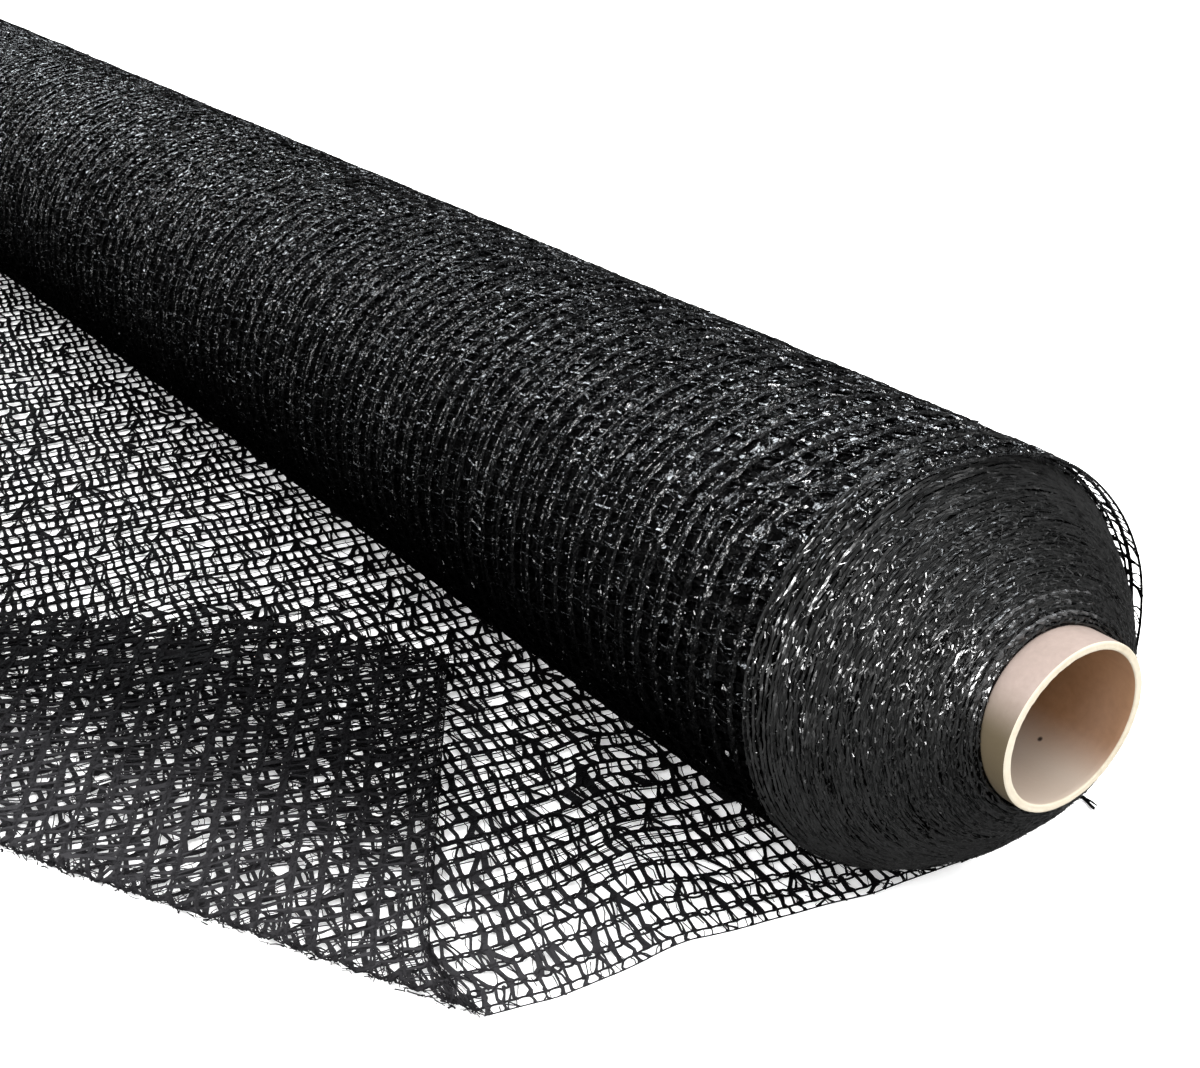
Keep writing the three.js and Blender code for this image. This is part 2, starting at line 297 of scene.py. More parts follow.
class Chains:
    """The knots of every chain, and the threads between them."""

    def __init__(self, run, start, seed, lean, wander=1.0):
        self.run, self.start, self.seed, self.lean, self.wander = run, start, seed, lean, wander
        self.cache = {}

    def knots(self, i):
        if i not in self.cache:
            stop = float(self.run(U[i]))
            phase = (self.lean * U[i] / PITCH) % COURSE
            n = int((stop - self.start - phase - 1.0) / COURSE) + 1
            j = np.arange(n)
            l = self.start + phase + COURSE * j
            l = l + (hash01(j, np.full(n, i), self.seed + 40) - 0.5) * 1.7
            l = l + 1.1 * vnoise(l / 30.0, i * 0.55, self.seed + 41)
            l = np.clip(l, self.start + 0.3, stop - 0.6)
            self.cache[i] = (l, stop, phase)
        return self.cache[i]

    def at(self, i, l):
        l = np.asarray(l, float)
        m = self.wander
        u = U[i] + m * (0.75 * vnoise(U[i] / 11.0 + 3, l / 36.0, self.seed)
                        + 0.35 * vnoise(i * 1.9 + 7, l / 9.0, self.seed + 1)) * (0.5 if is_single(i) else 1.0)
        if is_edge(i):
            u = U[i] + 0.3 * vnoise(0 * l, l / 14.0, self.seed + 2)
        h = 0.3 * vnoise(i * 0.6, l / 22.0, self.seed + 3) * smooth((np.abs(l) - 4) / 12)
        return np.stack([u, l, h], -1)


def net(bag, chains, lo, hi, level, opening, hair, bold, under=True, twist=30.0, fray=0.0, raised=0.0, stout=1.0,
        roll_by=1.1, flat=True, heavy=None):
    """Net between chains lo and hi.

    level(i, l) is the fineness: 0 a plain cord for a chain, 1 a straight pair,
    2 and 3 pairs that part between the knots. opening(i, l) is how far they part."""
    c, seed = chains, chains.seed
    for i in range(lo, hi + 1):
        k, stop, _ = c.knots(i)
        base = np.concatenate([[c.start], k, [stop]])
        base = np.maximum.accumulate(base)
        lv = level(i, 0.5 * (base[1:] + base[:-1]))
        per = np.array([1, 1, 2, 3])[lv]
        if is_single(i):
            per = np.minimum(per, 2)
        l = np.concatenate([b0 + (b1 - b0) * np.arange(m) / m for b0, b1, m in zip(base[:-1], base[1:], per)] + [[stop]])
        knot = np.concatenate([np.arange(m) == 0 for m in per] + [[True]])
        plain = np.concatenate([np.full(m, v == 0) for m, v in zip(per, lv)] + [[lv[-1] == 0]])
        p = c.at(i, l)
        j = np.arange(len(l))
        if is_single(i):
            q = p.copy()
            inward = 1.0 if i <= 1 else -1.0
            w = (0.50 if is_edge(i) else 0.74) * stout
            q[:, 0] += np.where(knot, 0.0, (-0.12 if is_edge(i) else 0.15) * inward)
            strands(bag, q[None], np.where(knot, w * 1.5, w)[None], np.full((1, len(l)), w * 0.8), None, 3)
            continue
        cuts = np.flatnonzero(np.diff(plain.astype(int))) + 1
        for a, b in zip(np.concatenate([[0], cuts]), np.concatenate([cuts + 1, [len(l)]])):
            b = min(b, len(l))
            if b - a < 2:
                continue
            if plain[a]:
                w = (1.75 + 0.3 * vnoise(j[a:b] * 0.7, i * 1.3, seed + 8)) * (heavy(i, l[a:b]) if heavy else 1.0)
                q = p[a:b].copy()
                q[:, 2] += raised * 0.6
                strands(bag, q[None], w[None], np.full((1, b - a), 0.7), None, 3, caps=under, under=under)
                continue
            open_ = opening(i, l[a:b]) * (0.45 + 1.1 * hash01(np.cumsum(knot)[a:b], np.full(b - a, i), seed + 6))
            more = heavy(i, l[a:b]) if heavy else np.ones(b - a)
            half = np.where(knot[a:b], 0.40, 0.46 + 0.5 * open_) * (0.5 + 0.5 * more)
            for side in (-1, 1):
                q = p[a:b].copy()
                q[:, 0] += side * half + 0.10 * vnoise(j[a:b] * 0.9, i * 3.3 + side, seed + 7)
                q[:, 2] += side * 0.14 * np.where(np.cumsum(knot)[a:b] % 2 == 0, 1, -1) + raised
                w = (0.90 + 0.2 * vnoise(j[a:b] * 0.7, i * 1.3 + side, seed + 8) + 0.22 * knot[a:b]) * stout * more
                th = (0.64 + 0.1 * vnoise(j[a:b] * 0.8, i * 1.7 - side, seed + 9)) * stout
                tw = roll_by * (hash01(j[a:b], np.full(b - a, 2 * i + (side > 0)), seed + 10) - 0.5)
                strands(bag, q[None], w[None], th[None], tw[None], 3, caps=under, under=under)

    for i in range(lo, hi):
        ka, stop_a, ph_a = c.knots(i)
        kb, stop_b, ph_b = c.knots(i + 1)
        n = len(ka)
        j = np.arange(n)
        key = j + 1000 * i
        gap = (U[i + 1] - U[i]) / PITCH
        r = [hash01(key, np.full(n, q), seed + 12) for q in range(12)]
        raw = c.start + ph_a + COURSE * j + c.lean * gap * (1 + 0.35 * vnoise(i * 0.37, j * 0.08, seed + 11))
        jb = np.round((raw - c.start - ph_b) / COURSE).astype(int)
        shift = np.where(r[0] < 0.07, -1, 0) + np.where(r[0] > 0.93, 1, 0)
        ok = (jb + shift >= 0) & (jb + shift < len(kb))
        jb = np.clip(jb + shift, 0, len(kb) - 1)
        keep = ok & (r[1] > (0.035 if U[i] < 340 else 0.008))
        a = c.at(i, ka)
        b = c.at(i + 1, kb[jb])
        lv = level(i, ka)
        narrow = 0.62 if gap < 0.5 else (0.85 if gap < 0.9 else 1.0)
        split = (r[2] < 0.40) & (lv >= 1)
        thin = r[2] > 0.82
        wide = bold(i, ka) * narrow * np.where(split, 0.66, np.where(thin, 0.62, 1.0))
        for v in range(4):
            m = keep & (lv == v)
            tapes(bag, a[m], b[m], seed + 20, key[m], wide[m], v, under, twist, flat)
        # the other leg of a tape that has split in two
        leg = np.where(r[3] < 0.5, -1.0, 1.0) * (1.1 + 1.9 * r[4])
        m = keep & split & (lv >= 1)
        b2 = b.copy()
        b2[:, 1] = np.clip(b2[:, 1] + leg, c.start, stop_b - 0.5)
        a2 = a.copy()
        a2[:, 1] = np.clip(a2[:, 1] + 0.25 * leg, c.start, stop_a - 0.5)
        turn = r[5] < 0.5
        a2, b2 = (np.where(turn[:, None], a2, np.stack([a[:, 0], np.clip(a[:, 1] + leg, c.start, stop_a - 0.5), a[:, 2]], -1)),
                  np.where(turn[:, None], b2, b))
        tapes(bag, a2[m], b2[m], seed + 21, key[m], wide[m] * 0.8, 1, under, twist, flat)
        # thin filaments
        amount = hair(i, ka)
        for t in range(2):
            pick = hash01(key, np.full(n, 30 + t), seed) < amount - t
            if not pick.any():
                continue
            kk = key[pick]
            h = [hash01(kk, np.full(len(kk), 40 + 7 * t + q), seed) for q in range(7)]
            m0 = np.clip(ka[pick] + (h[0] - 0.5) * 3.6, c.start, stop_a - 0.3)
            m1 = np.clip(m0 + c.lean * gap + (h[1] - 0.5) * 8.0 * min(1.0, gap), c.start, stop_b - 0.3)
            p0, p1 = c.at(i, m0), c.at(i + 1, m1)
            part = np.where(h[2] < 0.42, 0.35 + 0.5 * h[3], 1.0)[:, None]
            flip = (h[4] < 0.5)[:, None]
            p0, p1 = np.where(flip, p0, p1), np.where(flip, p1, p0)
            p1 = p0 + (p1 - p0) * part
            s = np.linspace(0, 1, 3)[None, :, None]
            q = p0[:, None] * (1 - s) + p1[:, None] * s
            q[..., 1] += ((h[5] - 0.5) * 2.2 * min(1.0, gap))[:, None] * np.sin(math.pi * s[..., 0])
            q[..., 2] += (0.1 + 0.35 * h[6])[:, None] * np.sin(math.pi * s[..., 0])
            w = np.full(q.shape[:2], 0.24) + 0.20 * h[3][:, None]
            strands(bag, q, w, w * 0.8, None, 3, caps=under, under=under)
        if fray > 0 and U[i] < 1100:
            m = 4
            kk = np.arange(m) + 7777 * (i + 1)
            h = [hash01(kk, np.full(m, q), seed) for q in range(9)]
            p0 = c.at(i, np.full(m, stop_a - 0.8) - 3 * h[0])
            p0[:, 0] += (U[i + 1] - U[i]) * h[1]
            p1 = p0.copy()
            p1[:, 0] += (h[2] - 0.5) * 8
            p1[:, 1] += fray * (0.2 + h[3] * h[4])
            s = np.linspace(0, 1, 4)[None, :, None]
            q = p0[:, None] * (1 - s) + p1[:, None] * s
            q[..., 0] += ((h[5] - 0.5) * 5)[:, None] * np.sin(math.pi * s[..., 0])
            q[..., 2] += (0.2 + 0.9 * h[6])[:, None] * s[..., 0]
            w = np.full((m, 4), 0.32) + 0.5 * h[8][:, None]
            strands(bag, q, w, w * 0.5, None, 3)


def tapes(bag, a, b, seed, key, wide, detail, under, twist, flat=True):
    """Tapes from points a to points b (N, 3), each crumpled in its own way."""
    n = len(a)
    if n == 0:
        return
    k = {0: 3, 1: 3, 2: 4, 3: 4}[int(detail)]
    s = np.linspace(0, 1, k)[None, :, None]
    if k == 4:
        s = np.array([0.0, 0.24, 0.76, 1.0])[None, :, None]
    pts = a[:, None] * (1 - s) + b[:, None] * s
    r = [hash01(key, np.full(n, i), seed) for i in range(10)]
    s1 = s[..., 0]
    pts[..., 1] += ((r[0] - 0.5) * 1.5)[:, None] * np.sin(math.pi * s1) + ((r[1] - 0.5) * 1.0)[:, None] * np.sin(
        2 * math.pi * s1)
    pts[..., 2] += ((r[2] - 0.35) * 0.8)[:, None] * np.sin(math.pi * s1)
    ends = np.abs(2 * s1 - 1) ** 2
    even = 0.45 if detail < 2 and flat else 1.0
    w = (wide * (0.95 + even * (0.72 * r[3] ** 1.5 - 0.17)))[:, None] * (
        0.80 + even * (0.85 + 0.9 * r[9][:, None]) * ends + 0.3 * (1 - even))
    tw = np.radians(twist) * ((r[6] - 0.5) * 2.4)[:, None] + np.radians(twist) * ((r[7] - 0.5) * 2.6)[:, None] * (
        s1 * 2 - 1)
    th = np.full(w.shape, 0.24 if flat else 0.42) + 0.16 * r[8][:, None]
    strands(bag, pts, w, th, tw * (1 - 0.5 * ends), 4 if flat and detail > 1 else 3, caps=under, under=under, mat=1)


def loose_run(u):
    return -float(cut_y(u))


LEAN = -2.15
loose_chains = Chains(loose_run, -START, 11, LEAN)


def loose_level(i, l):
    l = np.asarray(l, float)
    v = np.where(U[i] < 62, 3, np.where(U[i] < 340, 2, np.where(U[i] < 640, 1, 0)))
    return np.full(l.shape, v)


def past_fold(i, l):
    """How far length l on chain i lies past the fold."""
    return np.asarray(l, float) + fold_start(U[i])[1]


def loose_opening(i, l):
    near = math.exp(-max(0.0, U[i] - 20) / 16.0) * (1 - 0.85 * smooth(past_fold(i, l) / 12))
    part = 0.5 + 0.5 * vnoise(i * 0.9, np.asarray(l) / 45.0, 77)
    return 0.06 + 2.0 * near * (0.55 + 0.7 * part) + 0.7 * part ** 3


def loose_hair(i, l):
    v = 1.0 if U[i] < 300 else (0.6 if U[i] < 560 else (0.2 if U[i] < 860 else 0.0))
    return np.full(np.shape(l), v)


def loose_bold(i, l):
    """Tapes are wider towards the cut end of the flap."""
    past = past_fold(i, l)
    far = 0.36 * smooth((U[i] - 40) / 60) + 0.42 * smooth((U[i] - 220) / 380)
    return 1.46 + far - 0.70 * smooth(past / 15) + 0.60 * smooth((past - 55) / 100)


def loose_heavy(i, l):
    """Chains are drawn together, and so heavier, on the flap."""
    past = past_fold(i, l)
    return 1.18 + 0.12 * smooth((U[i] - 40) / 60) + 0.30 * smooth((U[i] - 220) / 380) + 0.44 * smooth((past - 8) / 60) - 0.2 * np.exp(-(past / 7) ** 2)


def loose_piece(name, lo, hi):
    bag = Bag()
    net(bag, loose_chains, lo, hi, loose_level, loose_opening, loose_hair, loose_bold, fray=6.0, heavy=loose_heavy)
    o = bag.mesh(name, move=on_floor)
    print(name, bag.triangles())
    return o


def on_floor(v):
    q = place(loose_mid, v[:, 0], v[:, 1], v[:, 2])
    q[:, 2] = np.maximum(q[:, 2], 0.02)
    return q


def fuzz(bag, u, l, h, aim, spread, long, seed, points=3, mat=0):
    """Short loose filaments at (u, l, h), pointing about the angle aim from the length of the net."""
    n = len(u)
    k = np.arange(n)
    r = [hash01(k, np.full(n, q), seed) for q in range(9)]
    ang = aim + (r[0] - 0.5) * 2 * spread
    size = long * (0.4 + 1.2 * r[1] * r[2])
    s = np.linspace(-0.5, 0.5, points)[None, :]
    bend = ((r[3] - 0.5) * 0.9 * size)[:, None] * (0.25 - s ** 2) * 4 * 0.5
    q = np.empty((n, points, 3))
    q[..., 0] = u[:, None] + np.sin(ang)[:, None] * s * size[:, None] + np.cos(ang)[:, None] * bend
    q[..., 1] = l[:, None] + np.cos(ang)[:, None] * s * size[:, None] - np.sin(ang)[:, None] * bend
    q[..., 2] = h[:, None] + (r[4] * 0.9)[:, None] * (0.25 - s ** 2) * 4 + ((r[5] - 0.5) * 0.8)[:, None] * s
    w = np.full((n, points), 0.24) + 0.42 * (r[6] ** 2)[:, None]
    strands(bag, q, w, w * 0.7, None, 3, mat=mat)


SPLIT_1, SPLIT_2 = 27, 57
loose_1 = loose_piece("net_loose_near", 0, SPLIT_1)
loose_2 = loose_piece("net_loose_middle", SPLIT_1, SPLIT_2)
loose_3 = loose_piece("net_loose_far", SPLIT_2, LAST)

# Threads caught along the fold, the drawn edge of the flap and its cut end.
bag = Bag()
n = 330
k = np.arange(n)
r = [hash01(k, np.full(n, q), 901) for q in range(6)]
w_at = 505 * (k + r[0]) / n
l_fold = -fold_start(w_at)[1]
slope = math.atan2(1.0, math.tan(math.radians(FOLD_DEG)))
fuzz(bag, w_at, l_fold + 0.5 + 6.5 * r[1], 0.1 + 0.5 * r[2], slope, 0.5, 9.0, 903, points=4)
n = 680
k = np.arange(n)
r = [hash01(k, np.full(n, q), 941) for q in range(6)]
w_at = 520 * (k + r[0]) / n
l_fold = -fold_start(w_at)[1]
fuzz(bag, w_at, l_fold + 9.0 * r[1], -0.3 - 1.5 * r[2] ** 1.5, slope, 1.2, 5.0, 943, points=4)
n = 1250
k = np.arange(n)
r = [hash01(k, np.full(n, q), 911) for q in range(6)]
l_edge = 168 + (405 - 168) * (k + r[0]) / n
fuzz(bag, 15.0 * r[1] ** 1.2 - 0.3, l_edge, -0.2 + 1.3 * r[2], 0.0, 0.6, 8.5, 913)
n = 2600
k = np.arange(n)
r = [hash01(k, np.full(n, q), 921) for q in range(6)]
w_end = 10 + 560 * r[0]
l_end = -cut_y(w_end) - 2 - 150 * r[1] ** 1.4
keep = l_end > -fold_start(w_end)[1] + 12
fuzz(bag, w_end[keep], l_end[keep], 0.1 + 1.2 * r[2][keep], 1.3, 1.3, 8.0, 923)
# Loose threads that have crept along the net between two chains.
for i in range(5, 58):
    for m in range(5 if U[i] >= 470 else 3):
        t = [float(hash01(i * 8 + m, q, 931)) for q in range(6)]
        run = 35 + 70 * t[0]
        top = -float(fold_start(U[i])[1]) - 6 if U[i] < 470 else loose_run(U[i]) - 8
        l0 = 14 + (top - 14 - run) * (m + t[1]) / 5
        if top < run + 30:
            continue
        l = np.linspace(l0, l0 + run, 13)
        u = U[i] + PITCH * (0.36 + 0.28 * t[2]) + 2.0 * vnoise(l / 17.0, i * 1.37 + m, 933)
        q = np.stack([u, l, 0.5 + 0.35 * vnoise(l / 11.0, i * 0.9 + m * 3, 934)], -1)
        w = (0.42 + 0.3 * t[3]) * (0.8 + 0.25 * vnoise(l / 6.0, i * 2.1 + m, 935))
        strands(bag, q[None], w[None], (w * 0.7)[None], None, 3)
loose_fuzz = bag.mesh("net_fold_threads", move=on_floor)
print("net_fold_threads", bag.triangles())

# The last turn on the roll, from under it up the back, over the top and down the front.
TURN_LEN = 2 * math.pi * ROLL_R - 2.0
turn_chains = Chains(lambda u: TURN_LEN, START, 31, -LEAN, wander=0.8)


def turn_level(i, l):
    """Finest on the side the cloth is drawn from."""
    front = np.asarray(l) > 195
    near = 2 if U[i] < 620 else (1 if U[i] < 860 else 0)
    back = 1 if U[i] < 120 else 0
    return np.where(front, near, back)


def turn_opening(i, l):
    lip = (1 - smooth((np.asarray(l) - 215) / 40)) * (1.3 if U[i] < 40 else 0.0)
    return 0.12 + 0.6 * (0.5 + 0.5 * vnoise(i * 0.7, np.asarray(l) / 30.0, 87)) ** 2 + lip


def turn_hair(i, l):
    return np.where(np.asarray(l) > 195, 0.7 if U[i] < 620 else 0.3, 0.1)


def turn_bold(i, l):
    return np.full(np.shape(l), 1.45 if U[i] < 50 else 1.1)


def on_roll(p):
    q = place(roll_mid, p[:, 0], p[:, 1], -p[:, 2], sign=-1.0)
    q[:, 2] = np.maximum(q[:, 2], 0.02)
    return q


def turn_piece(name, lo, hi, under=False, stout=1.0):
    bag = Bag()
    net(bag, turn_chains, lo, hi, turn_level, turn_opening, turn_hair, turn_bold, under=under, twist=50.0, raised=0.25,
        stout=stout, roll_by=1.7, flat=under)
    o = bag.mesh(name, move=on_roll)
    print(name, bag.triangles())
    return o


def turn_below(name, seed):
    """The tapes of the turn underneath, which show through the last one."""
    bag = Bag()
    c = Chains(lambda u: TURN_LEN, START, seed, -LEAN, wander=0.8)
    for i in range(3, 88):
        ka, stop_a, ph_a = c.knots(i)
        kb, stop_b, ph_b = c.knots(i + 1)
        j = np.arange(len(ka))
        jb = np.clip(np.round((c.start + ph_a + COURSE * j + c.lean - c.start - ph_b) / COURSE).astype(int), 0, len(kb) - 1)
        key = j + 1000 * i
        r = hash01(key, np.full(len(j), 1), seed + 12)
        keep = (ka > 140) & (r > 0.08)
        down = np.array([4.6, 0.0, -0.75])
        run = ka[ka > 150]
        if len(run) > 3:
            q = c.at(i, run) + np.array([4.6, 0.0, -0.5])
            strands(bag, q[None], np.full((1, len(run)), 1.7), np.full((1, len(run)), 0.7), None, 3, caps=False, under=False)
        tapes(bag, (c.at(i, ka) + down)[keep], (c.at(i + 1, kb[jb]) + down)[keep], seed + 20, key[keep],
              np.full(int(keep.sum()), 1.25), 1, False, 62.0, False)
    o = bag.mesh(name, move=on_roll)
    print(name, bag.triangles())
    return o


roll_0 = turn_below("net_turn_below", 41)
roll_1 = turn_piece("net_turn_lip", 0, 7, under=True, stout=1.6)
roll_2 = turn_piece("net_turn_near", 7, 60)


def lip_below(name, seed):
    """Selvedge of the turn before the last, a little further back and beneath."""
    bag = Bag()
    c = Chains(lambda u: TURN_LEN, START, seed, -LEAN, wander=1.1)
    net(bag, c, 0, 5, lambda i, l: np.full(np.shape(l), 1), lambda i, l: np.full(np.shape(l), 0.2),
        lambda i, l: np.full(np.shape(l), 0.0), lambda i, l: np.full(np.shape(l), 1.5), twist=50.0, stout=1.5, flat=False)

    def back(p):
        q = p.copy()
        q[:, 0] += 5.5 + 2.0 * vnoise(0 * p[:, 1], p[:, 1] / 70.0, 8)
        q[:, 2] -= 2.0
        return on_roll(q)
    o = bag.mesh(name, move=back)
    print(name, bag.triangles())
    return o


roll_4 = lip_below("net_lip_below", 43)
roll_3 = turn_piece("net_turn_far", 60, LAST)


def thread():
    """A thread end that has come away from the selvedge behind the roll and lies on the floor."""
    bag = Bag()
    line = np.array([(597.0, 49.0, 15.5), (592.0, 55.5, 8.0), (585.0, 62.0, 3.0), (579.5, 68.5, 1.0), (580.0, 73.0, 0.8),
                     (583.0, 75.6, 0.9), (586.5, 75.4, 0.8), (590.0, 74.2, 1.0), (592.0, 73.4, 1.4)])
    for q, cut in enumerate((9, 9, 8, 8, 7, 6)):
        n = (cut - 1) * 3 + 1
        s = np.linspace(0, cut - 1, n)
        path = np.stack([np.interp(s, np.arange(9), line[:, d]) for d in range(3)], -1)
        fan = smooth((s - 4.0) / 4)
        path[:, 0] += 0.35 * vnoise(s * 0.8, q * 3.1, 95) + fan * 2.4 * (hash01(q, 1, 95) - 0.5)
        path[:, 1] += 0.35 * vnoise(s * 0.8, q * 3.1, 96) + fan * 5.0 * (hash01(q, 2, 95) - 0.5)
        path[:, 2] = np.maximum(path[:, 2] + 0.3 * vnoise(s * 0.7, q * 2.3, 97), 0.6)
        w = np.linspace(2.3, 0.8, n) * (1.0 if q < 2 else 0.7)
        strands(bag, path[None], w[None], (w * 0.7)[None], None, 3)
    o = bag.mesh("net_thread")
    print("net_thread", bag.triangles())
    return o


roll_5 = thread()


# --------------------------------------------------------- wound body

def creep(a, g):
    """How much nearer the end of the tube the winding starts, by the angle round it."""
    return 4.4 * (0.5 - 0.5 * np.cos(a - math.radians(195))) * (1 - np.clip(g, 0, 1)) ** 3


def section(steps):
    a = np.linspace(0, 2 * math.pi, steps, endpoint=False)
    return a


def wound_body():
    steps = 108
    a = section(steps)
    hole = CORE_R + 0.15
    rings = []

    def ring(x, radius, inset=0.0):
        g = np.clip((radius - hole) / (73.3 - hole), 0, 1)
        r = radius - inset + (ROLL_R - TURN * a / (2 * math.pi) - 73.3) * g * g
        cy, cz = CORE_Y * (1 - g), CORE_Z * (1 - g) + ROLL_Z * g
        x = np.broadcast_to(x, a.shape)
        return np.stack([x, cy + r * np.sin(a), cz - r * np.cos(a)], -1)

    prof = [(float(r), float(b)) for r, b in DOME]
    fine = []
    for (r0, b0), (r1, b1) in zip(prof, prof[1:]):
        for s in (0, 0.5):
            fine.append((r0 + (r1 - r0) * s, b0 + (b1 - b0) * s))
    fine.append((73.3, 70.0))
    for r, b in fine:
        inset = 1.1 * min(1.0, (r - hole) / 4) if r < 73 else 1.1
        rings.append(ring(CORE_LENGTH / 2 - b + creep(a, (r - hole) / (73.3 - hole)), r, inset))
    for x in np.linspace(CORE_LENGTH / 2 - 90, -CORE_LENGTH / 2 + 90, 26):
        rings.append(ring(x, 73.3, 1.15))
    for r, b in reversed(fine):
        inset = 1.1 * min(1.0, (r - hole) / 4) if r < 73 else 1.1
        rings.append(ring(-CORE_LENGTH / 2 + b * 0.86, r, inset))
    v = np.stack(rings)
    n = len(rings)
    idx = np.arange(n * steps).reshape(n, steps)
    nxt = np.roll(idx, -1, axis=1)
    down, dnxt = np.roll(idx, -1, axis=0), np.roll(nxt, -1, axis=0)
    bag = Bag()
    bag.add(v, [np.stack([idx, down, dnxt, nxt], -1)])
    o = bag.mesh("wound_net", smooth_faces=True)
    print("wound_net", bag.triangles())
    return o


body = wound_body()


ARCS = (2, 6, 11, 16)            # turns whose edges above the tube are beaded and carry a painted highlight


def above_floor(v):
    v[:, 2] = np.maximum(v[:, 2], 0.05)
    return v


def dome(name, sign, turns, step, seed):
    """Edges of the turns at a wound end: each a crumpled, scalloped cord, with the ends of its tapes."""
    bag = Bag()
    hole = CORE_R + 0.15
    pitch = (73.5 - 29.3) / turns
    for k in range(turns):
        r = 29.3 + pitch * (k + 0.5)
        back = float(np.interp(r, DOME[:, 0], DOME[:, 1]))
        if sign < 0:
            back *= 0.86
        # near the tube every third edge stands a little proud of its neighbours
        proud = 0.75 * math.exp(-((r - 33) / 6.0) ** 2) if k % 3 == 0 else 0.0
        n = int(2 * math.pi * r / step)
        a = 2 * math.pi * np.arange(n + 1) / n
        g = (r - hole) / (73.3 - hole)
        j = np.arange(n + 1)
        full = np.full(n + 1, k)
        rough = smooth((r - 33) / 8) * 0.7 + 0.3
        out = (0.75 * vnoise(a * 2.2, k * 0.23, seed) + 0.42 * vnoise(a * r / 9.0, k * 0.9 + 9, seed + 1)
               + 0.24 * (hash01(j, full, seed + 7) - 0.5)) * rough + proud
        rad = pitch * 0.6 * (hash01(j, full, seed + 8) - 0.5) * rough + 0.35 * vnoise(a * 5, k * 1.1, seed + 2)
        size = pitch * (0.62 + 0.75 * hash01(j, full, seed + 9))
        seen = smooth((np.degrees(a) - 135) / 30) * (1 - smooth((np.degrees(a) - 232) / 25))
        if k in ARCS and sign > 0:
            out = out + seen * (0.75 * (j % 2) - 0.1)
            size = size + seen * pitch * 0.7 * (j % 2)
        turn = 0.55 * vnoise(a * r / 7.0, k * 1.7, seed + 3) + (hash01(j, full, seed + 10) - 0.5) * 0.5
        for v in (out, rad, size, turn):
            v[-1] = v[0]
        rr = r + rad + (ROLL_R - TURN * a / (2 * math.pi) - 73.3) * g * g
        cy, cz = CORE_Y * (1 - g), CORE_Z * (1 - g) + ROLL_Z * g
        x = sign * (CORE_LENGTH / 2 - back + out - 0.5 + (creep(a, g) if sign > 0 else 0))
        c = np.stack([x, cy + rr * np.sin(a), cz - rr * np.cos(a)], -1)
        # outward direction of the dome at this edge, and along its slope
        slope = np.interp(r, DOME[:, 0], np.gradient(DOME[:, 1], DOME[:, 0]))
        nx, nr = 1.0 / math.hypot(1, slope), slope / math.hypot(1, slope)
        er = np.stack([np.zeros_like(a), np.sin(a), -np.cos(a)], -1)
        ex = np.zeros_like(er)
        ex[:, 0] = sign
        normal = ex * nx + er * nr
        side = er * nx - ex * nr
        ct, st = np.cos(turn)[:, None], np.sin(turn)[:, None]
        nn, ss = normal * ct + side * st, side * ct - normal * st
        w = size[:, None]
        ring = np.stack([c - ss * w * 0.95 - nn * 0.42, c + nn * 0.20, c + ss * w * 0.95 - nn * 0.42], 1)
        m = len(a)
        idx = np.arange(m * 3).reshape(m, 3)
        q = np.stack([idx[:-1, :2], idx[:-1, 1:], idx[1:, 1:], idx[1:, :2]], -1)
        if sign < 0:
            q = q[..., ::-1]
        # painted highlight: above the tube these edges take the lighter copy of the edge material
        if k in ARCS and sign > 0:
            pale = seen[:-1] > 0.5
            bag.add(ring, [q[~pale]])
            bag.f.append(q[pale].reshape(-1, 4) + bag.n - ring.shape[0] * 3)
            bag.m.append(np.full(len(bag.f[-1]), 1, np.int32))
        else:
            bag.add(ring, [q])
        # short ends of tapes caught between the edges
        t = int(2 * math.pi * r / (step * 1.7))
        jj = [hash01(np.arange(t), np.full(t, k), seed + 20 + q) for q in range(9)]
        ta = 2 * math.pi * (np.arange(t) + jj[0]) / t
        r0 = r + (jj[1] - 0.5) * 0.8 + (ROLL_R - TURN * ta / (2 * math.pi) - 73.3) * g * g
        back0 = np.interp(r0, DOME[:, 0], DOME[:, 1]) * (1 if sign > 0 else 0.86)
        x0 = CORE_LENGTH / 2 - back0 + (creep(ta, g) if sign > 0 else 0)
        dirn = (jj[2] - 0.5) * (0.5 + 1.6 * (0.5 - 0.5 * np.cos(ta)))
        long = 0.7 + 1.5 * jj[3]
        wide = 0.22 + 0.34 * jj[4]

        def at(da, dr, dn):
            an = ta + da / r
            rq = r0 + dr * nx + dn * nr
            xq = sign * (x0 - dr * nr + dn * nx)
            return np.stack([xq, cy + rq * np.sin(an), cz - rq * np.cos(an)], -1)
        ca, sa = np.cos(dirn) * long * 0.5, np.sin(dirn) * long * 0.5
        wa, wr = -np.sin(dirn) * wide * 0.5, np.cos(dirn) * wide * 0.5
        h0, h1 = 0.15 + 0.5 * jj[5], 0.15 + 0.5 * jj[6]
        v = np.stack([at(-ca - wa, -sa - wr, h0), at(ca - wa, sa - wr, h1), at(ca + wa, sa + wr, h1 + 0.3 * (jj[7] - 0.5)),
                      at(-ca + wa, -sa + wr, h0 + 0.3 * (jj[8] - 0.5))], 1)
        fi = np.arange(t * 4).reshape(t, 4)
        bag.add(v, [fi if sign < 0 else fi[:, ::-1]])
    o = bag.mesh(name, move=above_floor)
    print(name, bag.triangles())
    return o


dome_near = dome("net_edges_near", 1, 84, 2.2, 51)
dome_far = dome("net_edges_far", -1, 46, 4.4, 61)


# --------------------------------------------------------------- the tube

